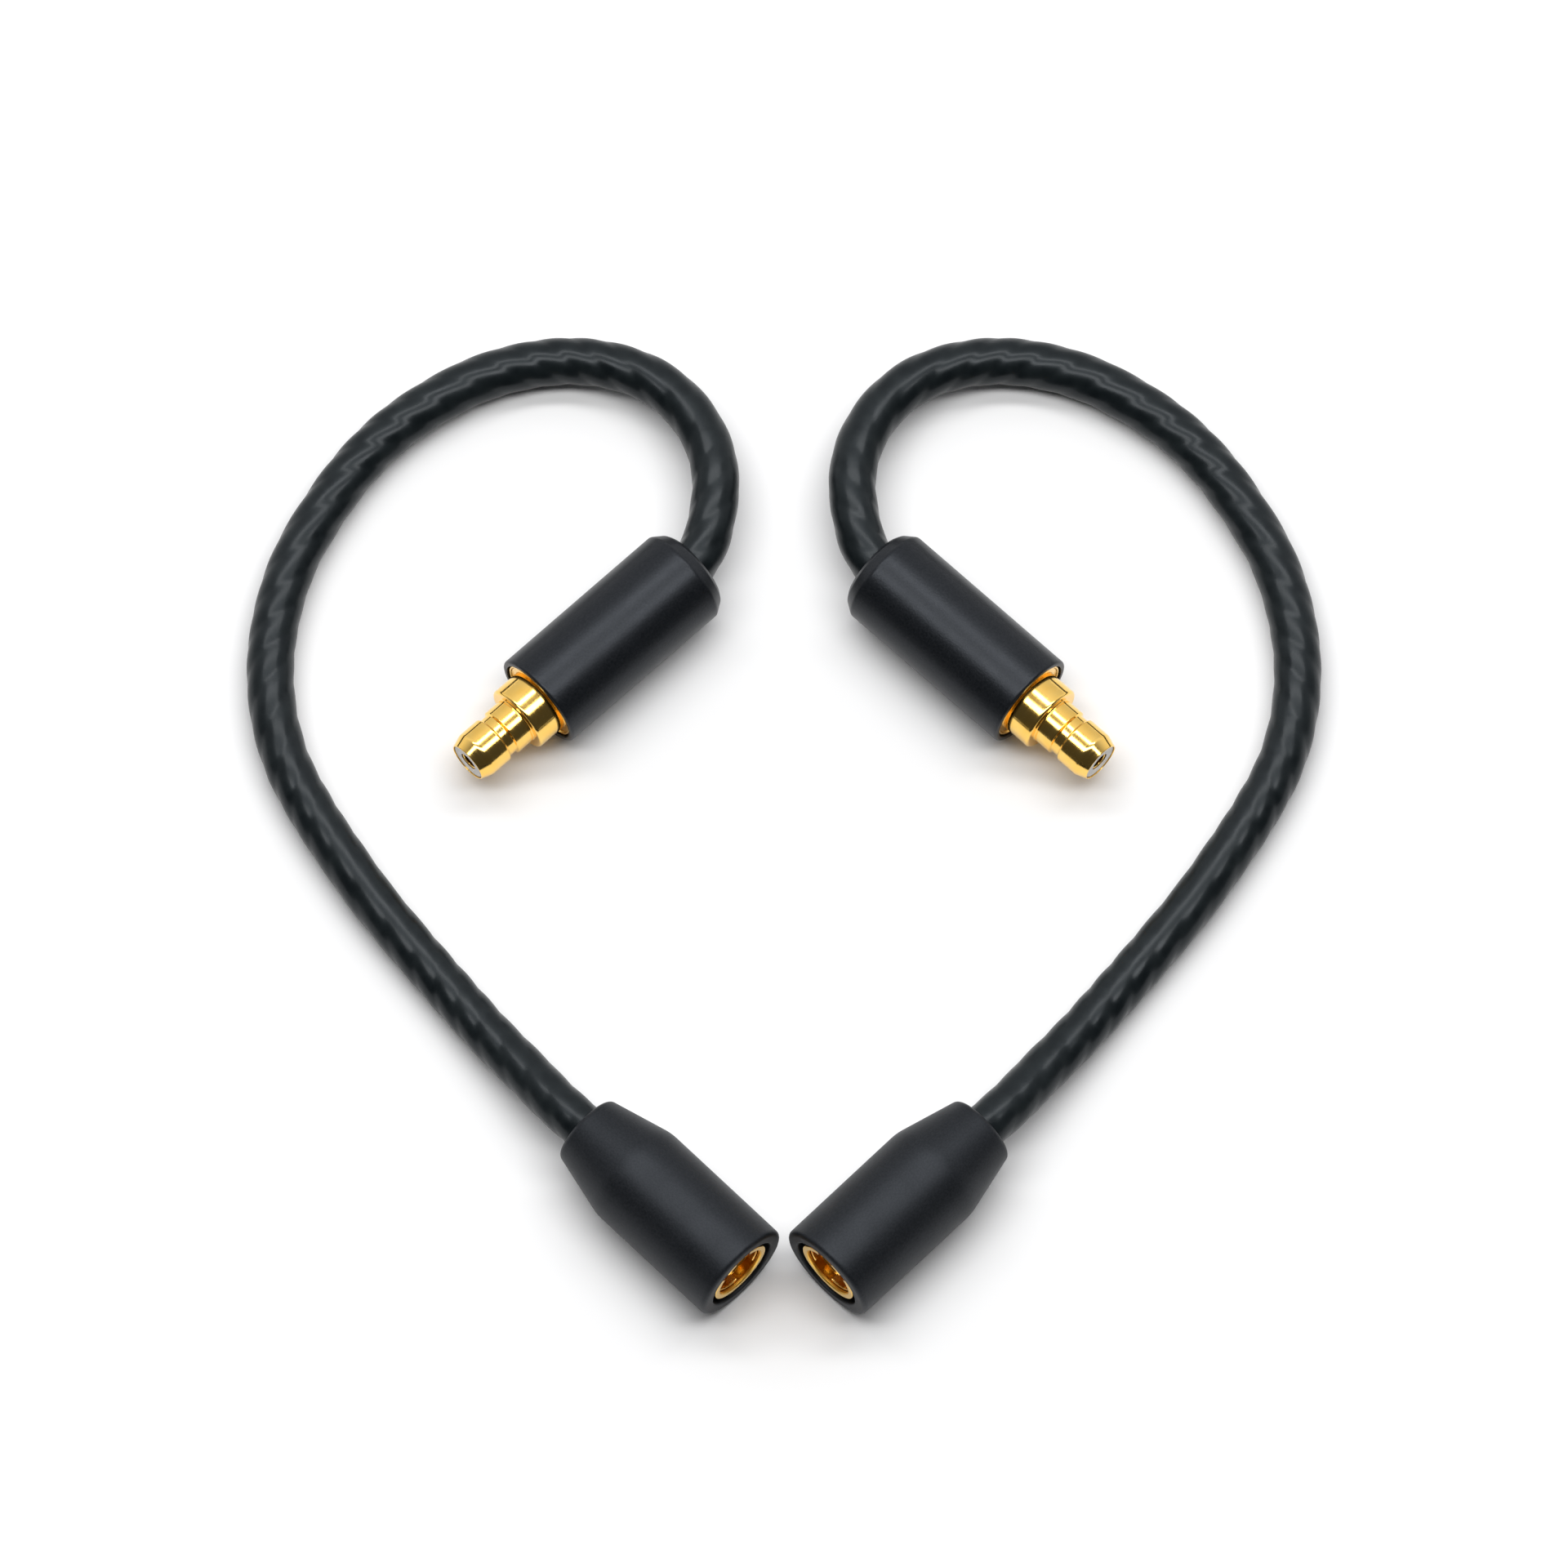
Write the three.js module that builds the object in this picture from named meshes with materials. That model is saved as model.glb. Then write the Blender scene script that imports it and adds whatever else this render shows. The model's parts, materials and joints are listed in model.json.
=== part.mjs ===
// A pair of ear-hook adapter leads for in-ear monitors, in millimetres, +Z up.
// Each lead is a coaxial snap plug in a black barrel, a short twisted-core cable bent into an
// over-ear hook, and a coaxial socket in a tapered black barrel. The leads lie on the plane z = 0
// as mirror images about x = 0, with their sockets nose to nose.
import * as THREE from 'three';

// ---- driving dimensions ----
const VISIBLE_SIDES = 24;
const INNER_SIDES = 12;
const WIRE_SIDES = 6;

const PLUG_RADIUS = 2.8;
const PLUG_LENGTH = 11.7;
const PLUG_REAR = [-4.82, 20.8];
const PLUG_HEADING = 222.8;

const SOCKET_RADIUS = 3.0;
const SOCKET_LENGTH = 12.0;
const SOCKET_REAR = [-10.78, -12.02];
const SOCKET_HEADING = -44.8;
const SOCKET_NECK_RADIUS = 2.05;

const CABLE_RADIUS = 1.3;
const CABLE_HOLE_RADIUS = 1.5;
const BORE_RADIUS = 2.2;
const FIT = 0.05;
const WIRE_RADIUS = 0.26;
const GROUND_OFFSET = 1.35;

// ---- materials: colour, roughness and metalness of each finish ----
const finish = {
  barrel: () => new THREE.MeshStandardMaterial({ color: 0x26282b, roughness: 0.55, metalness: 0.1 }),
  jacket: () => new THREE.MeshStandardMaterial({ color: 0x15181a, roughness: 0.35, metalness: 0.0 }),
  gold: () => new THREE.MeshStandardMaterial({ color: 0xe0a63a, roughness: 0.2, metalness: 1.0 }),
  insulator: () => new THREE.MeshStandardMaterial({ color: 0xc9c7c4, roughness: 0.5, metalness: 0.0 }),
  redWire: () => new THREE.MeshStandardMaterial({ color: 0xa8261e, roughness: 0.45, metalness: 0.0 }),
  greenWire: () => new THREE.MeshStandardMaterial({ color: 0x2a7a45, roughness: 0.45, metalness: 0.0 }),
  solder: () => new THREE.MeshStandardMaterial({ color: 0xb8bcc2, roughness: 0.3, metalness: 1.0 }),
  sleeve: () => new THREE.MeshStandardMaterial({ color: 0x101113, roughness: 0.5, metalness: 0.0 }),
  ferrule: () => new THREE.MeshStandardMaterial({ color: 0xb08d4a, roughness: 0.35, metalness: 1.0 }),
  glue: () => new THREE.MeshStandardMaterial({ color: 0xd9cfae, roughness: 0.4, metalness: 0.0 }),
};

// ---- shape helpers ----

// Points of a quarter-round edge of radius r, centred on [x, y], from one angle to another.
function arc(x, y, r, fromDegrees, toDegrees, steps) {
  const points = [];
  for (let i = 0; i <= steps; i++) {
    const angle = THREE.MathUtils.degToRad(fromDegrees + ((toDegrees - fromDegrees) * i) / steps);
    points.push([x + r * Math.cos(angle), y + r * Math.sin(angle)]);
  }
  return points;
}

// A turned piece about the x axis. The outline is [x, radius] pairs, with its flats at the stated
// radius. The outer side runs towards +x; an outline that starts off the axis is closed into a ring.
function turned(outline, sides) {
  const flats = 1 / Math.cos(Math.PI / sides);
  const points = outline.map(([x, r]) => new THREE.Vector2(r * flats, x));
  if (outline[0][1] > 0) points.push(points[0].clone());
  const geometry = new THREE.LatheGeometry(points, sides, Math.PI / sides);
  return geometry.rotateZ(-Math.PI / 2);
}

// A ring of rectangular section between two radii and two places on the x axis.
function sleeve(x0, x1, outer, inner, sides = INNER_SIDES) {
  return turned([[x0, outer], [x1, outer], [x1, inner], [x0, inner]], sides);
}

// A regular polygon, with its flats at the stated radius.
function polygon(centreX, centreY, radius, sides, Kind) {
  const shape = new Kind();
  for (let i = 0; i < sides; i++) {
    const angle = (2 * Math.PI * (i + 0.5)) / sides;
    const reach = radius / Math.cos(Math.PI / sides);
    const x = centreX + reach * Math.cos(angle);
    const y = centreY + reach * Math.sin(angle);
    if (i === 0) shape.moveTo(x, y);
    else shape.lineTo(x, y);
  }
  shape.closePath();
  return shape;
}

// A round tube that follows a smooth curve through the points.
function along(points, radius, sides, steps) {
  const path = new THREE.CatmullRomCurve3(points.map((p) => new THREE.Vector3(...p)), false, 'centripetal');
  const section = polygon(0, 0, radius * Math.cos(Math.PI / sides), sides, THREE.Shape);
  return new THREE.ExtrudeGeometry(section, { steps, extrudePath: path, bevelEnabled: false });
}

// A disc along the x axis that two wires pass through: one on the axis, one above it.
function drilledDisc(x0, x1, radius) {
  const shape = polygon(0, 0, radius, INNER_SIDES, THREE.Shape);
  const hole = WIRE_RADIUS + 2 * FIT;
  shape.holes.push(polygon(0, 0, hole, WIRE_SIDES, THREE.Path));
  shape.holes.push(polygon(0, GROUND_OFFSET, hole, WIRE_SIDES, THREE.Path));
  const disc = new THREE.ExtrudeGeometry(shape, { depth: x1 - x0, bevelEnabled: false });
  // The extrusion's +z becomes +x, and its +y becomes +z.
  disc.rotateX(Math.PI / 2).rotateZ(Math.PI / 2);
  return disc.translate(x0, 0, 0);
}

function addPiece(group, name, geometry, material) {
  const mesh = new THREE.Mesh(geometry, material);
  mesh.name = name;
  group.add(mesh);
}

// ---- wiring inside a barrel: from the cable's cut end at x = cut to the contact tails ----
function addWiring(group, prefix, at) {
  const { cut, glueStart, glueEnd, wireEnd, jointEnd, groundEnd } = at;
  const start = cut + 0.15;

  addPiece(group, `${prefix}_crimp_ring`,
    sleeve(at.ringStart, at.ringEnd, BORE_RADIUS - 2 * FIT, CABLE_HOLE_RADIUS), finish.ferrule());
  addPiece(group, `${prefix}_signal_wire`,
    along([[start, 0, -0.6], [start + 0.4, 0, -0.3], [glueStart, 0, 0], [wireEnd, 0, 0]],
      WIRE_RADIUS, WIRE_SIDES, 8), finish.redWire());
  addPiece(group, `${prefix}_ground_wire`,
    along([[start, 0, 0.6], [start + 0.4, 0, 1.05], [glueStart, 0, GROUND_OFFSET],
      [glueEnd, 0, GROUND_OFFSET], [groundEnd, 0, GROUND_OFFSET]], WIRE_RADIUS, WIRE_SIDES, 8),
    finish.greenWire());
  addPiece(group, `${prefix}_glue_fill`,
    drilledDisc(glueStart, glueEnd, BORE_RADIUS - 2 * FIT), finish.glue());
  addPiece(group, `${prefix}_signal_solder`,
    turned([[wireEnd + FIT, 0], [wireEnd + FIT, 0.26], [wireEnd + 0.2, 0.42],
      [jointEnd - 0.2, 0.42], [jointEnd - FIT, 0.3], [jointEnd - FIT, 0]], INNER_SIDES),
    finish.solder());
  addPiece(group, `${prefix}_heat_shrink`,
    sleeve(wireEnd - 0.4, jointEnd + 0.5, 0.78, 0.58), finish.sleeve());
  const solder = turned([[groundEnd + FIT, 0], [groundEnd + FIT, 0.24], [groundEnd + 0.2, 0.36],
    [at.tail - 0.15, 0.36], [at.tail - FIT, 0.26], [at.tail - FIT, 0]], INNER_SIDES);
  addPiece(group, `${prefix}_ground_solder`, solder.translate(0, 0, GROUND_OFFSET), finish.solder());
}

// ---- the plug end, along +x from a point 0.15 mm behind its rear face ----
function addPlug(group, side) {
  const prefix = `${side}_plug`;
  const wall = { rear: 0.15, frontEdge: 0.22, inside: 1.3, counterbore: 10.3, counterRadius: 2.45 };

  addPiece(group, `${prefix}_housing`, turned([
    [wall.rear, CABLE_HOLE_RADIUS],
    [wall.rear, PLUG_RADIUS - 0.7],
    [wall.rear + 0.2, PLUG_RADIUS - 0.4],
    [wall.rear + 0.8, PLUG_RADIUS],
    [PLUG_LENGTH - wall.frontEdge, PLUG_RADIUS],
    [PLUG_LENGTH, PLUG_RADIUS - wall.frontEdge],
    [PLUG_LENGTH, wall.counterRadius],
    [wall.counterbore, wall.counterRadius],
    [wall.counterbore, BORE_RADIUS],
    [wall.inside, BORE_RADIUS],
    [wall.inside, CABLE_HOLE_RADIUS],
  ], VISIBLE_SIDES), finish.barrel());

  // The outer contact: tail, flange, base ring, neck, snap groove and tapered nose.
  const flange = PLUG_LENGTH - 0.1;
  const base = flange + 1.65;
  const neck = base + 1.08;
  const groove = neck + 0.64;
  const nose = groove + 1.26;
  const tip = nose + 0.67;
  const tail = 8.6;
  addPiece(group, `${prefix}_outer_contact`, turned([
    [tail, 1.7], [10.6, 1.7], [10.6, 2.4], [flange, 2.4], [flange, 1.95],
    [base - 0.12, 1.95], [base, 1.83], [base, 1.4], [neck, 1.4], [neck + 0.08, 1.25],
    [groove - 0.08, 1.25], [groove, 1.4], [nose, 1.4], [nose + 0.25, 1.34], [tip, 1.16],
    [tip, 1.1], [10.9, 1.1], [10.9, 1.35], [tail, 1.35],
  ], VISIBLE_SIDES), finish.gold());

  addPiece(group, `${prefix}_insulator`, turned([
    [8.9, 1.3], [10.8, 1.3], [10.8, 1.05], [tip - 0.06, 1.05], [tip - 0.06, 0.76], [8.9, 0.76],
  ], VISIBLE_SIDES), finish.insulator());

  // The centre contact is a tube at the tip and a solid solder pin behind it.
  addPiece(group, `${prefix}_center_contact`, turned([
    [7.4, 0], [7.4, 0.4], [9.2, 0.4], [9.2, 0.71], [tip - 0.1, 0.71],
    [tip - 0.1, 0.44], [13.2, 0.44], [13.2, 0],
  ], INNER_SIDES), finish.gold());

  addWiring(group, prefix, {
    ringStart: 1.5, ringEnd: 2.7, cut: 2.6, glueStart: 3.9, glueEnd: 5.8,
    wireEnd: 6.6, jointEnd: 7.4, groundEnd: 7.9, tail,
  });
}

// ---- the socket end, along +x from its rear face ----
function addSocket(group, side) {
  const prefix = `${side}_socket`;
  const rearEdge = 0.35;
  const taperEnd = 3.7;
  const frontEdge = 0.25;
  const rearWall = 2.4;

  addPiece(group, `${prefix}_housing`, turned([
    [0, CABLE_HOLE_RADIUS],
    ...arc(rearEdge, SOCKET_NECK_RADIUS - rearEdge, rearEdge, 180, 105, 3),
    [taperEnd, SOCKET_RADIUS],
    [SOCKET_LENGTH - frontEdge, SOCKET_RADIUS],
    [SOCKET_LENGTH - 0.07, SOCKET_RADIUS - 0.07],
    [SOCKET_LENGTH, SOCKET_RADIUS - frontEdge],
    [SOCKET_LENGTH, BORE_RADIUS],
    [rearWall, BORE_RADIUS],
    [rearWall, CABLE_HOLE_RADIUS],
  ], VISIBLE_SIDES), finish.barrel());

  // The outer contact: tail, flange and a tube with a groove for the snap ring.
  const mouth = SOCKET_LENGTH - 0.12;
  const bore = 1.54;
  const floor = mouth - 3.75;
  const tail = 6.8;
  const ringStart = mouth - 0.8;
  const ringEnd = mouth - 0.2;
  const grooveDepth = 0.2;
  const ringStandsProud = 0.12;
  addPiece(group, `${prefix}_outer_contact`, turned([
    [tail, 1.65], [7.9, 1.65], [7.9, BORE_RADIUS - FIT], [8.7, BORE_RADIUS - FIT], [8.7, 1.93],
    [mouth, 1.93], [mouth, bore + 0.1], [mouth - 0.1, bore],
    [ringEnd, bore], [ringEnd, bore + grooveDepth],
    [ringStart, bore + grooveDepth], [ringStart, bore],
    [floor, bore], [floor, 1.1], [tail, 1.1],
  ], VISIBLE_SIDES), finish.gold());

  addPiece(group, `${prefix}_insulator`, turned([
    [tail + 0.1, 1.05], [floor + FIT, 1.05], [floor + FIT, bore - 0.06], [floor + 0.5, bore - 0.06],
    [floor + 0.5, 0.47], [tail + 0.1, 0.47],
  ], VISIBLE_SIDES), finish.insulator());

  addPiece(group, `${prefix}_center_pin`, turned([
    [6.2, 0], [6.2, 0.4], [mouth - 1.1, 0.4], [mouth - 0.85, 0.28], [mouth - 0.8, 0],
  ], INNER_SIDES), finish.gold());

  addPiece(group, `${prefix}_snap_ring`,
    splitRing(ringStart + FIT, ringEnd - FIT, bore + grooveDepth - FIT, bore - ringStandsProud),
    finish.gold());

  addWiring(group, prefix, {
    ringStart: 2.6, ringEnd: 3.5, cut: 3.4, glueStart: 4.05, glueEnd: 4.85,
    wireEnd: 5.35, jointEnd: 6.15, groundEnd: 6.1, tail,
  });
}

// A spring ring, open from one corner to another near its lowest point, drawn in the cross plane and
// extruded along x. Angles run from +y towards +z.
function splitRing(x0, x1, outer, inner) {
  const openingEnd = 322.5;
  const openingSides = 4;
  const sides = VISIBLE_SIDES - openingSides;
  const corner = (radius, i) => {
    const angle = THREE.MathUtils.degToRad(openingEnd + (360 * i) / VISIBLE_SIDES);
    const reach = radius / Math.cos(Math.PI / VISIBLE_SIDES);
    return [reach * Math.cos(angle), reach * Math.sin(angle)];
  };
  const shape = new THREE.Shape();
  shape.moveTo(...corner(outer, 0));
  for (let i = 1; i <= sides; i++) shape.lineTo(...corner(outer, i));
  for (let i = sides; i >= 0; i--) shape.lineTo(...corner(inner, i));
  shape.closePath();
  const ring = new THREE.ExtrudeGeometry(shape, { depth: x1 - x0, bevelEnabled: false });
  ring.rotateX(Math.PI / 2).rotateZ(Math.PI / 2);
  return ring.translate(x0, 0, 0);
}

// ---- the cable: from inside the plug barrel, round the ear hook, into the socket barrel ----
const CABLE_ROUTE = [
  [-4.95, 20.88, 2.8],
  [-4.3, 22.1, 2.8],
  [-3.9, 23.75, 2.78],
  [-3.72, 25.75, 2.7],
  [-4.1, 27.9, 2.55],
  [-5.3, 30.15, 2.3],
  [-7.15, 31.9, 2.02],
  [-9.25, 32.85, 1.76],
  [-11.6, 33.25, 1.53],
  [-14.0, 33.05, 1.38],
  [-16.55, 32.3, 1.31],
  [-18.9, 31.05, 1.3],
  [-21.3, 29.3, 1.3],
  [-23.3, 27.2, 1.3],
  [-25.0, 24.75, 1.3],
  [-26.6, 21.8, 1.3],
  [-27.55, 18.75, 1.3],
  [-27.95, 15.7, 1.3],
  [-27.75, 12.6, 1.3],
  [-27.0, 9.8, 1.3],
  [-25.65, 7.05, 1.3],
  [-24.05, 4.45, 1.3],
  [-22.3, 1.85, 1.3],
  [-20.25, -0.8, 1.3],
  [-18.15, -3.4, 1.35],
  [-16.0, -6.05, 1.6],
  [-13.95, -8.45, 2.1],
  [-12.3, -10.45, 2.65],
];

function onAxis(rear, headingDegrees, distance, height) {
  const heading = THREE.MathUtils.degToRad(headingDegrees);
  return [rear[0] + distance * Math.cos(heading), rear[1] + distance * Math.sin(heading), height];
}

function addCable(group, side) {
  const route = [
    onAxis(PLUG_REAR, PLUG_HEADING, 2.55, PLUG_RADIUS),
    onAxis(PLUG_REAR, PLUG_HEADING, 1.3, PLUG_RADIUS),
    ...CABLE_ROUTE,
    onAxis(SOCKET_REAR, SOCKET_HEADING, 0.3, SOCKET_RADIUS),
    onAxis(SOCKET_REAR, SOCKET_HEADING, 3.35, SOCKET_RADIUS),
  ];
  addPiece(group, `${side}_cable`, along(route, CABLE_RADIUS, 8, 44), finish.jacket());
}

// ---- one lead, as the left one lies; the right one is its mirror image ----
function makeLead(side) {
  const lead = new THREE.Group();
  const ends = [
    [addPlug, PLUG_REAR, PLUG_HEADING, PLUG_RADIUS],
    [addSocket, SOCKET_REAR, SOCKET_HEADING, SOCKET_RADIUS],
  ];
  for (const [addEnd, [x, y], heading, height] of ends) {
    const end = new THREE.Group();
    end.position.set(x, y, height);
    end.rotation.z = THREE.MathUtils.degToRad(heading);
    addEnd(end, side);
    lead.add(end);
  }
  addCable(lead, side);
  if (side === 'right') lead.scale.x = -1;
  return lead;
}

const pair = new THREE.Group();
pair.add(makeLead('left'), makeLead('right'));

export default pair;
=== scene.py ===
"""The finished look of a pair of ear-hook adapter leads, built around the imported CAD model, in metres."""
import json
import math

import bmesh
import bpy
import numpy as np
from mathutils import Matrix, Vector


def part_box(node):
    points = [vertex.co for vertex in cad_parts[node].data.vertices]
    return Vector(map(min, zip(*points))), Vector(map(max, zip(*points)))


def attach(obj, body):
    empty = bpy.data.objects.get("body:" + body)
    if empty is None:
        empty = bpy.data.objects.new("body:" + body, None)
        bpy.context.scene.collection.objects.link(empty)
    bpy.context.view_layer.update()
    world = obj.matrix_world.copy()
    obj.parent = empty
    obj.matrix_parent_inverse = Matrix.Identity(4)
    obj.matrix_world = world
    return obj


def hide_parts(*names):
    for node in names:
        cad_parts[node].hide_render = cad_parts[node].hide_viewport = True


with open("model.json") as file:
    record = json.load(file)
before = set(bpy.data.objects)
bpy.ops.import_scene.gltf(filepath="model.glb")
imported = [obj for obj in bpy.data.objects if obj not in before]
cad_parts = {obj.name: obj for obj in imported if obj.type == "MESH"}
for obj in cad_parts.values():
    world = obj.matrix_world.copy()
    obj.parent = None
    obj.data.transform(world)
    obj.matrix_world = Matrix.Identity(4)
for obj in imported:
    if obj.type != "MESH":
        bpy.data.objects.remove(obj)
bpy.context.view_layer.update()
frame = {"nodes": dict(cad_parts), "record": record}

MM = 0.001
MIRROR_X = Matrix.Diagonal((-1, 1, 1, 1))
MIRROR_Y = Matrix.Diagonal((1, -1, 1, 1))

# ---- driving dimensions, in millimetres; those along a barrel are measured from its rear face ----
FLANGE_FACE = 11.6
PLUG_LENGTH = 11.7
SOCKET_LENGTH = 12.0
SOCKET_MOUTH = 11.88
PLUG_BARREL_RADIUS = 2.8
SOCKET_BARREL_RADIUS = 2.99
BORE_RADIUS = 1.54
GROOVE_RADIUS = 1.74
GROOVE = (11.08, 11.68)
CABLE_RADIUS = 1.3
CABLE_STEP = 0.15
TWIST_PITCH = 8.4
TWIST_LOBES = 4
TWIST_DEPTH = 0.07
EDGE_RADIUS = 0.02          # of every corner whose outline names no radius
SHARP_ANGLE = math.radians(35)

# ---- the camera and the studio ----
CAMERA_ELEVATION = math.radians(69)
CAMERA_TARGET = Vector((0, 9.143 * MM, 0))
FRAME_WIDTH = 85.333 * MM
LENS = 1500
FLOOR_HALF_WIDTH = 2.0
STRIP_HEIGHT = 0.6
STRIP_LENGTH = 0.78
STRIP_RADIANCE = 7.0
STRIPS = (("north_strip", 0.261, 0.114), ("near_strip", -0.036, 0.144))     # name, y, width
ROOM_TONES = ((0.0, 0.05), (0.42, 0.06), (0.56, 0.32), (0.8, 0.95), (1.0, 0.6))     # from -Y to +Y
ROOM_BLUE = 1.02            # against its red and green


# ---- camera ----

def add_camera():
    """A long lens above the surface, which looks down and along +Y."""
    camera = bpy.data.cameras.new("camera")
    camera.lens = LENS
    camera.sensor_width = 36
    camera.clip_end = 50
    distance = FRAME_WIDTH * camera.lens / camera.sensor_width
    holder = bpy.data.objects.new("camera", camera)
    towards_camera = Vector((0, -math.cos(CAMERA_ELEVATION), math.sin(CAMERA_ELEVATION)))
    holder.location = CAMERA_TARGET + towards_camera * distance
    holder.rotation_euler = (math.pi / 2 - CAMERA_ELEVATION, 0, 0)
    bpy.context.scene.collection.objects.link(holder)
    bpy.context.scene.camera = holder


# ---- node materials ----

class Finish:
    """A material under construction: its shader, and the patterns that drive it."""

    def __init__(self, name, colour, roughness, metallic=0.0, specular=0.5, tint=(1, 1, 1)):
        self.material = bpy.data.materials.new(name)
        self.material.use_nodes = True
        self.material.diffuse_color = (*colour, 1)
        self.nodes = self.material.node_tree.nodes
        self.links = self.material.node_tree.links
        self.shader = self.nodes["Principled BSDF"]
        self.shader.inputs["Base Color"].default_value = (*colour, 1)
        self.shader.inputs["Roughness"].default_value = roughness
        self.shader.inputs["Metallic"].default_value = metallic
        self.shader.inputs["Specular IOR Level"].default_value = specular
        self.shader.inputs["Specular Tint"].default_value = (*tint, 1)
        self.place = self.nodes.new("ShaderNodeTexCoord").outputs["Object"]

    def feed(self, socket, value):
        """Gives an input a value: another socket, a number, or a colour of three numbers."""
        if isinstance(value, bpy.types.NodeSocket):
            self.links.new(value, socket)
        else:
            socket.default_value = (*value, 1) if socket.type == "RGBA" else value

    def stretched(self, scale):
        """The piece's own coordinates, stretched by a different amount along each axis."""
        node = self.nodes.new("ShaderNodeMapping")
        node.inputs["Scale"].default_value = scale
        self.links.new(self.place, node.inputs["Vector"])
        return node.outputs["Vector"]

    def noise(self, size, detail=2, source=None):
        """Noise from 0 to 1, with blobs of about this size in metres."""
        node = self.nodes.new("ShaderNodeTexNoise")
        node.inputs["Scale"].default_value = 1 / size
        node.inputs["Detail"].default_value = detail
        self.links.new(source or self.place, node.inputs["Vector"])
        return node.outputs["Fac"]

    def spread(self, value, low, high, start=0.3, end=0.7):
        """A value from start to end, spread over low to high."""
        node = self.nodes.new("ShaderNodeMapRange")
        for name, number in (("From Min", start), ("From Max", end), ("To Min", low), ("To Max", high)):
            node.inputs[name].default_value = number
        self.links.new(value, node.inputs["Value"])
        return node.outputs["Result"]

    def mix(self, factor, first, second):
        """A colour between two others, at this share of the way."""
        node = self.nodes.new("ShaderNodeMix")
        node.data_type = "RGBA"
        self.links.new(factor, node.inputs["Factor"])
        sockets = [s for s in node.inputs if s.type == "RGBA"]
        for socket, colour in zip(sockets, (first, second)):
            self.feed(socket, colour)
        return next(s for s in node.outputs if s.type == "RGBA")

    def tones(self, pattern, dark, light):
        """A colour that a noise pattern moves between two tones."""
        return self.mix(self.spread(pattern, 0, 1), dark, light)

    def calculate(self, operation, first, second):
        """One arithmetic step on two values."""
        node = self.nodes.new("ShaderNodeMath")
        node.operation = operation
        for socket, value in zip(node.inputs, (first, second)):
            self.feed(socket, value)
        return node.outputs["Value"]

    def drive(self, name, value):
        """Lets a socket drive one of the shader's values."""
        self.links.new(value, self.shader.inputs[name])

    def bump(self, height, depth, strength, under=None):
        """Relief of this depth in metres, over the relief under it."""
        node = self.nodes.new("ShaderNodeBump")
        node.inputs["Strength"].default_value = strength
        node.inputs["Distance"].default_value = depth
        self.links.new(height, node.inputs["Height"])
        if under:
            self.links.new(under, node.inputs["Normal"])
        self.links.new(node.outputs["Normal"], self.shader.inputs["Normal"])
        return node.outputs["Normal"]


def barrel_finish(name, smooth, rough):
    """Bead-blasted, black anodised aluminium, faintly paler where its edges are rubbed."""
    finish = Finish(name, (0.005, 0.006, 0.007), rough, specular=0.32, tint=(0.84, 0.90, 1.0))
    grain = finish.noise(0.11 * MM, detail=3)
    cloud = finish.noise(1.8 * MM)
    speckled = finish.tones(grain, (0.002, 0.003, 0.004), (0.010, 0.011, 0.013))
    pointiness = finish.nodes.new("ShaderNodeNewGeometry").outputs["Pointiness"]
    edges = finish.spread(pointiness, 0, 0.5, start=0.52, end=0.62)
    rubbed = finish.calculate("MULTIPLY", edges, finish.spread(cloud, 0.3, 1))
    finish.drive("Base Color", finish.mix(rubbed, speckled, (0.045, 0.047, 0.052)))
    finish.drive("Roughness", finish.spread(cloud, smooth, rough))
    finish.bump(grain, 0.009 * MM, 0.6)
    return finish.material


def jacket_finish():
    """Black flexible PVC drawn over twisted cores: a dull body under a thin glossy skin."""
    finish = Finish("jacket_black", (0.006, 0.008, 0.009), 0.34, specular=0.21, tint=(0.84, 0.93, 1.0))
    finish.shader.inputs["Coat Weight"].default_value = 0.13
    finish.shader.inputs["Coat Roughness"].default_value = 0.20
    grain = finish.noise(0.14 * MM, detail=3)
    cloud = finish.noise(0.9 * MM, detail=3)
    finish.drive("Base Color", finish.tones(cloud, (0.004, 0.006, 0.007), (0.008, 0.011, 0.012)))
    finish.drive("Roughness", finish.spread(cloud, 0.28, 0.40))
    ripple = finish.bump(cloud, 0.035 * MM, 0.7)
    finish.bump(grain, 0.004 * MM, 0.5, under=ripple)
    return finish.material


def gold_finish(name, bore_radius=None):
    """Gold plating over turned brass, with the lathe's faint rings round the axis. On the walls of a bore it
    is rougher, and its colour is painted more orange and slightly darker: painted shade and reflection for
    the deep orange tone that light takes inside the recess."""
    finish = Finish(name, (1.0, 0.64, 0.15), 0.13, metallic=1.0)
    rings = finish.noise(0.05 * MM, source=finish.stretched((1, 0.02, 0.02)))
    cloud = finish.noise(0.9 * MM)
    plated = finish.tones(cloud, (1.0, 0.61, 0.13), (1.0, 0.66, 0.18))
    roughness = finish.spread(rings, 0.10, 0.17)
    if bore_radius:
        off_axis = finish.nodes.new("ShaderNodeVectorMath")
        off_axis.operation = "LENGTH"
        finish.links.new(finish.stretched((0, 1, 1)), off_axis.inputs[0])
        # Painted shade: the bore's walls get a more orange, slightly darker colour that stands in for the
        # shade and the orange reflections inside the recess; they are also made rougher.
        inside = finish.spread(off_axis.outputs["Value"], 1, 0, bore_radius, bore_radius + 0.06 * MM)
        plated = finish.mix(inside, plated, (1.0, 0.56, 0.09))
        roughness = finish.calculate("ADD", roughness, finish.calculate("MULTIPLY", inside, 0.33))
    finish.drive("Base Color", plated)
    finish.drive("Roughness", roughness)
    finish.bump(rings, 0.0006 * MM, 0.6)
    return finish.material


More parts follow.
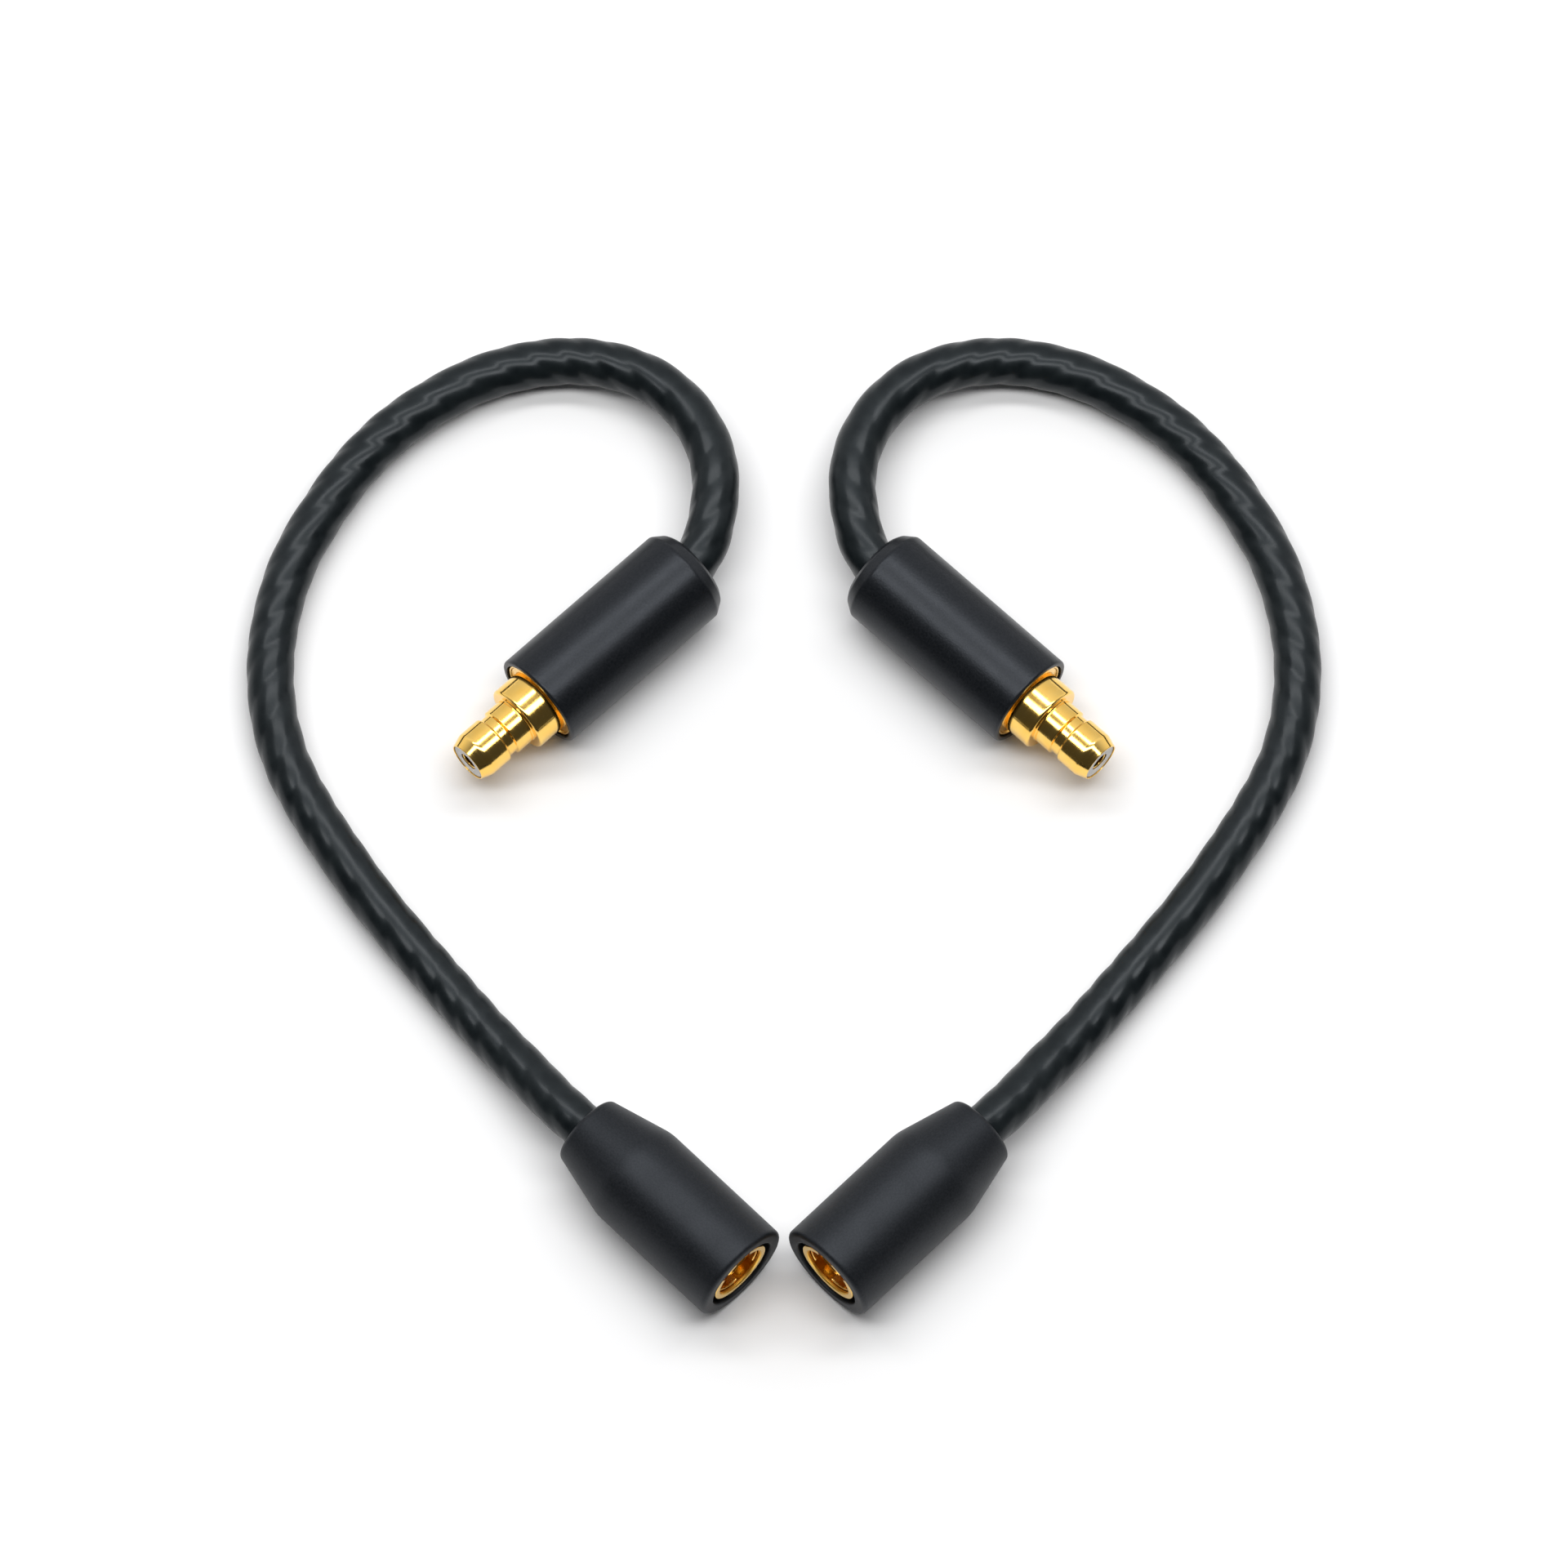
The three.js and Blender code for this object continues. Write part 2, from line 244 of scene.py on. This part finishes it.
def ring_finish():
    """Gold-plated spring bronze, a little redder and rougher than the turned pieces."""
    finish = Finish("ring_gold", (1.0, 0.60, 0.16), 0.24, metallic=1.0)
    drawn = finish.noise(0.06 * MM)
    finish.drive("Base Color", finish.tones(drawn, (1.0, 0.57, 0.13), (1.0, 0.64, 0.20)))
    finish.drive("Roughness", finish.spread(drawn, 0.18, 0.30))
    finish.bump(drawn, 0.001 * MM, 0.6)
    return finish.material


def insulator_finish():
    """Pale grey fluoropolymer, turned and slightly waxy."""
    finish = Finish("insulator_grey", (0.82, 0.80, 0.77), 0.45)
    rings = finish.noise(0.05 * MM, source=finish.stretched((1, 0.05, 0.05)))
    cloud = finish.noise(0.5 * MM)
    finish.drive("Base Color", finish.tones(cloud, (0.78, 0.76, 0.73), (0.88, 0.86, 0.83)))
    finish.drive("Roughness", finish.spread(rings, 0.38, 0.52))
    finish.bump(rings, 0.001 * MM, 0.5)
    return finish.material


def plain_finish(name, dark, light, rough, metallic=0.0, size=0.3):
    """A finish for a piece inside a barrel: two tones in clouds of this size in millimetres."""
    finish = Finish(name, light, rough[1], metallic)
    cloud = finish.noise(size * MM, detail=3)
    finish.drive("Base Color", finish.tones(cloud, dark, light))
    finish.drive("Roughness", finish.spread(cloud, *rough))
    finish.bump(cloud, 0.01 * size * MM, 0.5)
    return finish.material


# ---- shapes, for the left lead; a shape is its vertices in metres, and its faces ----

def rounded(outline, closed):
    """An outline of (x, radius, corner radius) with each corner drawn as an arc, and a point on either side
    of it that keeps the flats flat."""
    least_turn, coarse_step, fine_step = 6, 20, 7       # degrees; a large radius takes the fine step
    large_radius = 0.3
    most_reach, most_beyond = 0.45, 0.49                # shares of the straight beside the corner
    points = []
    count = len(outline)
    for i, (x, r, *corner) in enumerate(outline):
        here = np.array((x, r), float)
        if not closed and i in (0, count - 1):
            points.append(here)
            continue
        back = np.array(outline[i - 1][:2]) - here
        on = np.array(outline[(i + 1) % count][:2]) - here
        back_length, on_length = np.linalg.norm(back), np.linalg.norm(on)
        back, on = back / back_length, on / on_length
        half = 0.5 * math.acos(float(np.clip(back @ on, -1, 1)))
        turn = math.pi - 2 * half
        if turn < math.radians(least_turn):
            points.append(here)
            continue
        shortest = min(back_length, on_length)
        reach = min((corner[0] if corner else EDGE_RADIUS) / math.tan(half), most_reach * shortest)
        radius = reach * math.tan(half)
        centre = here + (back + on) / np.linalg.norm(back + on) * radius / math.sin(half)
        first = (here + back * reach - centre) / radius
        last = (here + on * reach - centre) / radius
        beyond = reach + 0.4 * reach + 0.01
        points.append(here + back * min(beyond, most_beyond * back_length))
        steps = max(3, round(math.degrees(turn) / (fine_step if radius > large_radius else coarse_step)))
        for step in range(steps + 1):
            share = step / steps
            mixed = first * math.sin((1 - share) * turn) + last * math.sin(share * turn)
            points.append(centre + radius * mixed / math.sin(turn))
        points.append(here + on * min(beyond, most_beyond * on_length))
    return np.array(points)


def turned(outline, sides=120, notches=()):
    """The shape of a piece turned about its own x axis. An outline that starts on the axis ends there too,
    and any other closes on itself. The outer side runs towards +x. A notch is (first angle, last angle, x of
    its floor, least radius there), with its angles in degrees, and cuts the end that faces +x."""
    closed = outline[0][1] > 0
    profile = rounded(outline, closed)
    wall = 0.2      # degrees that a notch's side takes
    edges = [edge for first, last, *_ in notches for edge in (first, first + wall, last - wall, last)]
    angles = np.unique(np.concatenate([np.arange(sides) * 360 / sides, edges]))
    sides = len(angles)
    vertices, rows = [], []
    for x, r in profile:
        start = len(vertices)
        if r < 1e-9:
            vertices.append((x, 0, 0))
            rows.append([start] * sides)
            continue
        for angle in angles:
            place, radius = x, r
            for first, last, floor, least in notches:
                if first < angle < last and x > floor:
                    place, radius = floor, max(r, least)
            vertices.append((place, radius * math.cos(math.radians(angle)),
                             radius * math.sin(math.radians(angle))))
        rows.append(list(range(start, start + sides)))
    pairs = list(zip(rows, rows[1:] + rows[:1])) if closed else list(zip(rows, rows[1:]))
    faces = []
    for row, following in pairs:
        for j in range(sides):
            k = (j + 1) % sides
            loop = [row[j], row[k], following[k], following[j]]
            faces.append([v for n, v in enumerate(loop) if v not in loop[:n]])
    return np.array(vertices) * MM, faces


def smooth_curve(points, spacing):
    """Evenly spaced points of a centripetal Catmull-Rom curve, and its length."""
    samples = 60
    p = np.array(points, float)
    p = np.vstack([2 * p[0] - p[1], p, 2 * p[-1] - p[-2]])
    t = np.linspace(0, 1, samples, endpoint=False)[:, None]
    parts = []
    for a, b, c, d in zip(p, p[1:], p[2:], p[3:]):
        before, across, after = (np.linalg.norm(v) ** 0.5 for v in (b - a, c - b, d - c))
        leave = across * ((b - a) / before - (c - a) / (before + across) + (c - b) / across)
        arrive = across * ((c - b) / across - (d - b) / (across + after) + (d - c) / after)
        parts.append(b + leave * t + (3 * (c - b) - 2 * leave - arrive) * t**2
                     + (2 * (b - c) + leave + arrive) * t**3)
    dense = np.vstack([*parts, p[-2:-1]])
    lengths = np.concatenate([[0], np.cumsum(np.linalg.norm(np.diff(dense, axis=0), axis=1))])
    stations = np.linspace(0, lengths[-1], round(lengths[-1] / spacing) + 1)
    evenly = np.column_stack([np.interp(stations, lengths, dense[:, i]) for i in range(3)])
    return evenly, lengths[-1]


def twisted_tube(path, length, sides=64):
    """The shape of a jacket drawn over twisted cores, whose lobes wind round the path. Slow waves along the
    path vary their turn and their depth, as handling leaves them."""
    tangents = np.gradient(path, axis=0)
    tangents /= np.linalg.norm(tangents, axis=1)[:, None]
    across = np.cross((0, 0, 1), tangents)
    across /= np.linalg.norm(across, axis=1)[:, None]
    above = np.cross(tangents, across)
    along = np.linspace(0, length, len(path)) / MM
    around = np.arange(sides) * 2 * math.pi / sides
    drift = 0.35 * np.sin(along / 4.1 + 0.7) + 0.22 * np.sin(along / 1.9 + 2.1)
    phase = TWIST_LOBES * (around[None, :] - (2 * math.pi * along / TWIST_PITCH + drift)[:, None]) / 2
    valley = 1 - np.sqrt(np.cos(phase) ** 2 + 0.03)
    unevenness = 0.8 + 0.2 * np.sin(along / 2.7 + 1.3)
    radius = (CABLE_RADIUS - TWIST_DEPTH * valley * unevenness[:, None]) * MM
    rings = (path[:, None, :] + radius[:, :, None]
             * (np.cos(around)[None, :, None] * across[:, None, :]
                + np.sin(around)[None, :, None] * above[:, None, :]))
    vertices = rings.reshape(-1, 3)
    faces = []
    for i in range(len(path) - 1):
        for j in range(sides):
            k = (j + 1) % sides
            a, b = i * sides, (i + 1) * sides
            faces.append([a + j, a + k, b + k, b + j])
    last = (len(path) - 1) * sides
    faces.append(list(range(sides))[::-1])
    faces.append(list(range(last, last + sides)))
    return vertices, faces


# ---- placing ----

def end_place(mount_name, housing, distance):
    """The left barrel's own axes: x along it from the middle of its rear face, y across, z up."""
    mount = next(m for m in frame["record"]["mounts"] if m["name"] == mount_name)
    axis = Vector(mount["axis"])
    low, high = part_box(housing)
    rear = Vector(mount["pos_m"]) - axis * distance * MM
    rear.z = (low.z + high.z) / 2
    across = Vector((-axis.y, axis.x, 0))
    return Matrix.Translation(rear) @ Matrix((axis, across, Vector((0, 0, 1)))).transposed().to_4x4()


PLUG_PLACE = end_place("left_plug_shoulder", "left_plug_housing", FLANGE_FACE)
SOCKET_PLACE = end_place("left_socket_mouth", "left_socket_housing", SOCKET_LENGTH)


def merge_doubles(mesh):
    """Joins corners that fall on each other, and drops the faces that this leaves with no area."""
    work = bmesh.new()
    work.from_mesh(mesh)
    bmesh.ops.remove_doubles(work, verts=work.verts, dist=1e-5 * MM)
    work.to_mesh(mesh)
    work.free()


def add_piece(name, side, shape, place, body, node, material):
    """Adds a piece that stands for one CAD node. The right lead's is the left one's mirror image."""
    vertices, faces = shape
    if side == "right":
        vertices = vertices * (1, -1, 1)
        faces = [face[::-1] for face in faces]
        place = MIRROR_X @ place @ MIRROR_Y
    mesh = bpy.data.meshes.new(name)
    mesh.from_pydata(vertices.tolist(), [], faces)
    merge_doubles(mesh)
    mesh.shade_smooth()
    mesh.set_sharp_from_angle(angle=SHARP_ANGLE)
    mesh.materials.append(material)
    piece = bpy.data.objects.new(name, mesh)
    piece.matrix_world = place
    bpy.context.scene.collection.objects.link(piece)
    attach(piece, body)
    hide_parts(node)
    return piece


# ---- the two cables ----

# The left cable's centre line between its barrels, in metres, and the distances from each barrel's rear
# face, in millimetres, at which it passes through points on that barrel's axis.
CABLE_IN_PLUG = (2.55, 1.3)
CABLE_IN_SOCKET = (0.3, 3.35)
CABLE_ROUTE = [
    (-0.00495, 0.02088, 0.00280),
    (-0.00430, 0.02210, 0.00280),
    (-0.00390, 0.02375, 0.00278),
    (-0.00372, 0.02575, 0.00270),
    (-0.00410, 0.02790, 0.00255),
    (-0.00530, 0.03015, 0.00230),
    (-0.00715, 0.03190, 0.00202),
    (-0.00925, 0.03285, 0.00176),
    (-0.01160, 0.03325, 0.00153),
    (-0.01400, 0.03305, 0.00138),
    (-0.01655, 0.03230, 0.00131),
    (-0.01890, 0.03105, 0.00130),
    (-0.02130, 0.02930, 0.00130),
    (-0.02330, 0.02720, 0.00130),
    (-0.02500, 0.02475, 0.00130),
    (-0.02660, 0.02180, 0.00130),
    (-0.02755, 0.01875, 0.00130),
    (-0.02795, 0.01570, 0.00130),
    (-0.02775, 0.01260, 0.00130),
    (-0.02700, 0.00980, 0.00130),
    (-0.02565, 0.00705, 0.00130),
    (-0.02405, 0.00445, 0.00130),
    (-0.02230, 0.00185, 0.00130),
    (-0.02025, -0.00080, 0.00130),
    (-0.01815, -0.00340, 0.00135),
    (-0.01600, -0.00605, 0.00160),
    (-0.01395, -0.00845, 0.00210),
    (-0.01230, -0.01045, 0.00265),
]


def add_cables(material):
    """One cable for each lead, from inside the plug's barrel round the ear hook into the socket's."""
    route = [
        *(PLUG_PLACE @ Vector((distance * MM, 0, 0)) for distance in CABLE_IN_PLUG),
        *CABLE_ROUTE,
        *(SOCKET_PLACE @ Vector((distance * MM, 0, 0)) for distance in CABLE_IN_SOCKET),
    ]
    path, length = smooth_curve(route, CABLE_STEP * MM)
    shape = twisted_tube(path, length)
    for side in ("left", "right"):
        piece = add_piece(f"{side}_ear_hook_cable", side, shape, Matrix.Identity(4), f"{side}_lead",
                          f"{side}_cable", material)


# ---- the plug: outlines of (x, radius, corner radius) in millimetres ----

# The chamfered rear, the side, the mouth, its counterbore and the inside.
PLUG_BARREL = [
    (0.15, 1.45, 0.1), (0.15, 2.1, 0.2), (0.35, 2.4, 0.3), (0.95, PLUG_BARREL_RADIUS, 0.3),
    (PLUG_LENGTH, PLUG_BARREL_RADIUS, 0.18), (PLUG_LENGTH, 2.47, 0.05), (10.3, 2.47, 0.03),
    (10.3, 2.2, 0.05), (1.3, 2.2, 0.1), (1.3, 1.45, 0.1),
]

# The tail, flange, base ring, neck, snap groove and nose.
PLUG_OUTER_CONTACT = [
    (8.6, 1.7, 0.05), (10.6, 1.7, 0.05), (10.6, 2.4, 0.08), (FLANGE_FACE, 2.4, 0.04),
    (FLANGE_FACE, 2.3, 0.04), (FLANGE_FACE - 0.1, 2.24, 0.04), (FLANGE_FACE - 0.1, 1.95, 0.04),
    (13.25, 1.95, 0.14), (13.25, 1.4, 0.05), (14.33, 1.4, 0.05),
    (14.41, 1.25, 0.04), (14.89, 1.25, 0.04), (14.97, 1.4, 0.06), (16.23, 1.4, 0.5),
    (16.9, 1.16, 0.04), (16.9, 1.1, 0.02), (10.9, 1.1), (10.9, 1.35), (8.6, 1.35),
]

# The disc and sleeve, and the face with a lip round its hole.
PLUG_INSULATOR = [
    (8.9, 1.3), (10.8, 1.3), (10.8, 1.05), (16.84, 1.08, 0.03), (16.84, 0.55, 0.03),
    (16.79, 0.55), (16.79, 0.76), (8.9, 0.76),
]

# The tail, the tube and its hole.
PLUG_CENTER_CONTACT = [
    (7.4, 0), (7.4, 0.4), (9.2, 0.4), (9.2, 0.71), (16.77, 0.71, 0.03), (16.77, 0.44, 0.04),
    (13.2, 0.44), (13.2, 0),
]


# ---- the socket: outlines as above ----

# The taper, the side, the mouth and the inside.
SOCKET_BARREL = [
    (0, 1.45, 0.12), (0, 2.05, 0.4), (3.75, SOCKET_BARREL_RADIUS, 3.0),
    (SOCKET_LENGTH, SOCKET_BARREL_RADIUS, 0.25),
    (SOCKET_LENGTH, 2.2, 0.1), (2.4, 2.2, 0.1), (2.4, 1.45, 0.1),
]

# The sleeve and the disc.
SOCKET_INSULATOR = [
    (6.9, 1.05), (8.18, 1.05), (8.18, 1.48), (8.63, 1.48), (8.63, 0.47), (6.9, 0.47),
]

# The tail and the pin, with its rounded tip.
SOCKET_CENTER_PIN = [
    (6.2, 0), (6.2, 0.4), (10.78, 0.4, 0.08), (11.03, 0.28, 0.08), (11.08, 0),
]

# The tail, flange and tube, with the snap ring's groove just inside the mouth.
SOCKET_OUTER_CONTACT = [
    (6.8, 1.65), (7.9, 1.65), (7.9, 2.15), (8.7, 2.15), (8.7, 1.93), (SOCKET_MOUTH, 1.93, 0.06),
    (SOCKET_MOUTH, 1.62, 0.03), (SOCKET_MOUTH - 0.08, BORE_RADIUS, 0.03),
    (GROOVE[1], BORE_RADIUS), (GROOVE[1], GROOVE_RADIUS), (GROOVE[0], GROOVE_RADIUS),
    (GROOVE[0], BORE_RADIUS), (8.13, BORE_RADIUS), (8.13, 1.1), (6.8, 1.1),
]
RIM_NOTCHES = [
    (66, 100.5, SOCKET_MOUTH - 0.35, GROOVE_RADIUS),
    (123, 137, SOCKET_MOUTH - 0.5, GROOVE_RADIUS),
]

# The split ring's section, and the angles of its two ends, which turn from +y to +z.
RING_SECTION = [(11.13, 1.69, 0.07), (11.63, 1.69, 0.07), (11.63, 1.42, 0.07), (11.13, 1.42, 0.07)]
RING_ENDS = (325, 628)


def spring_ring(steps=150):
    """The shape of the split ring, open below."""
    corners = rounded(RING_SECTION, True)
    count = len(corners)
    vertices, faces = [], []
    for angle in np.radians(np.linspace(*RING_ENDS, steps + 1)):
        vertices += [(x, r * math.cos(angle), r * math.sin(angle)) for x, r in corners]
    for i in range(steps):
        for j in range(count):
            k = (j + 1) % count
            faces.append([i * count + j, (i + 1) * count + j, (i + 1) * count + k, i * count + k])
    faces.append(list(range(count)))
    faces.append([steps * count + j for j in range(count)][::-1])
    return np.array(vertices) * MM, faces


def add_ends(barrel, dull_barrel, gold, bore_gold_painted_shade, ring, insulator):
    """The detailed pieces of both leads' plugs and sockets."""
    plug = [
        ("plug_barrel", turned(PLUG_BARREL, 144), "plug_housing", "barrel", barrel),
        ("plug_gold_body", turned(PLUG_OUTER_CONTACT), "plug_outer_contact", "gold_plate", gold),
        ("plug_tip_insulator", turned(PLUG_INSULATOR), "plug_insulator", "insulator", insulator),
        ("plug_center_tube", turned(PLUG_CENTER_CONTACT, 72), "plug_center_contact", "gold_plate", gold),
    ]
    socket = [
        ("socket_barrel", turned(SOCKET_BARREL, 144), "socket_housing", "barrel", dull_barrel),
        ("socket_gold_tube", turned(SOCKET_OUTER_CONTACT, notches=RIM_NOTCHES), "socket_outer_contact",
         "gold_plate", bore_gold_painted_shade),
        ("socket_disc", turned(SOCKET_INSULATOR), "socket_insulator", "insulator", insulator),
        ("socket_pin", turned(SOCKET_CENTER_PIN, 72), "socket_center_pin", "gold_plate", gold),
        ("socket_spring_ring", spring_ring(), "socket_snap_ring", "spring_ring", ring),
    ]
    for side in ("left", "right"):
        for place, pieces in ((PLUG_PLACE, plug), (SOCKET_PLACE, socket)):
            for name, shape, node, slot, material in pieces:
                body = f"{side}_snap_ring" if slot == "spring_ring" else f"{side}_lead"
                add_piece(f"{side}_{name}", side, shape, place, body, f"{side}_{node}", material)


def finish_inner_nodes():
    """Gives the CAD pieces that stay, all inside the barrels, their materials."""
    finishes = {
        "crimp_ring": plain_finish("ferrule_brass", (0.42, 0.30, 0.12), (0.62, 0.47, 0.22), (0.28, 0.42),
                                   metallic=1.0),
        "signal_wire": plain_finish("wire_red", (0.30, 0.02, 0.015), (0.46, 0.04, 0.03), (0.30, 0.45)),
        "ground_wire": plain_finish("wire_green", (0.02, 0.15, 0.05), (0.04, 0.25, 0.09), (0.30, 0.45)),
        "glue_fill": plain_finish("glue_amber", (0.58, 0.46, 0.24), (0.75, 0.67, 0.46), (0.25, 0.45),
                                  size=0.8),
        "signal_solder": plain_finish("solder_tin", (0.48, 0.49, 0.51), (0.68, 0.69, 0.71), (0.18, 0.34),
                                      metallic=1.0),
        "heat_shrink": plain_finish("sleeve_black", (0.008, 0.008, 0.010), (0.016, 0.016, 0.018),
                                    (0.5, 0.65)),
    }
    finishes["ground_solder"] = finishes["signal_solder"]
    for name, node in frame["nodes"].items():
        for ending, material in finishes.items():
            if name.endswith(ending):
                node.data.materials.clear()
                node.data.materials.append(material)


# ---- the studio ----

def add_floor():
    """A wide, pale, matt sheet at z = 0."""
    half = FLOOR_HALF_WIDTH
    mesh = bpy.data.meshes.new("floor")
    mesh.from_pydata([(-half, -half, 0), (half, -half, 0), (half, half, 0), (-half, half, 0)], [],
                     [(0, 1, 2, 3)])
    finish = Finish("floor_white", (0.9, 0.9, 0.9), 0.9, specular=0.1)
    mesh.materials.append(finish.material)
    floor = bpy.data.objects.new("floor", mesh)
    bpy.context.scene.collection.objects.link(floor)


def add_strip(name, y, width):
    """A strip light that runs along X and shines down. It doesn't show in any view."""
    light = bpy.data.lights.new(name, "AREA")
    light.shape = "RECTANGLE"
    light.size = STRIP_LENGTH
    light.size_y = width
    light.energy = STRIP_RADIANCE * math.pi * STRIP_LENGTH * width
    holder = bpy.data.objects.new(name, light)
    holder.location = (0, y, STRIP_HEIGHT)
    holder.visible_camera = False
    bpy.context.scene.collection.objects.link(holder)


def add_surroundings():
    """A room that is bright to the north, +Y, and dark to the south."""
    world = bpy.data.worlds.new("room")
    world.use_nodes = True
    nodes, links = world.node_tree.nodes, world.node_tree.links
    direction = nodes.new("ShaderNodeTexCoord").outputs["Generated"]
    split = nodes.new("ShaderNodeSeparateXYZ")
    ramp = nodes.new("ShaderNodeValToRGB")
    spread = nodes.new("ShaderNodeMapRange")
    spread.inputs["From Min"].default_value = -1
    links.new(direction, split.inputs["Vector"])
    links.new(split.outputs["Y"], spread.inputs["Value"])
    links.new(spread.outputs["Result"], ramp.inputs["Fac"])
    elements = ramp.color_ramp.elements
    for place, _ in ROOM_TONES[1:-1]:
        elements.new(place)
    for element, (_, tone) in zip(elements, ROOM_TONES):
        element.color = (tone, tone, tone * ROOM_BLUE, 1)
    links.new(ramp.outputs["Color"], nodes["Background"].inputs["Color"])
    bpy.context.scene.world = world


def add_studio():
    """The floor, the lights and the room, shown without any film look."""
    add_floor()
    for strip in STRIPS:
        add_strip(*strip)
    add_surroundings()
    bpy.context.scene.view_settings.view_transform = "Standard"


add_camera()
add_cables(jacket_finish())
add_ends(
    barrel=barrel_finish("barrel_black", 0.33, 0.38),
    dull_barrel=barrel_finish("barrel_dull_black", 0.44, 0.50),
    gold=gold_finish("gold_plate"),
    # The bore's gold carries painted shade: its walls are coloured more orange and darker than the plating.
    bore_gold_painted_shade=gold_finish("gold_bore_painted_shade", (BORE_RADIUS + 0.02) * MM),
    ring=ring_finish(),
    insulator=insulator_finish(),
)
finish_inner_nodes()
add_studio()
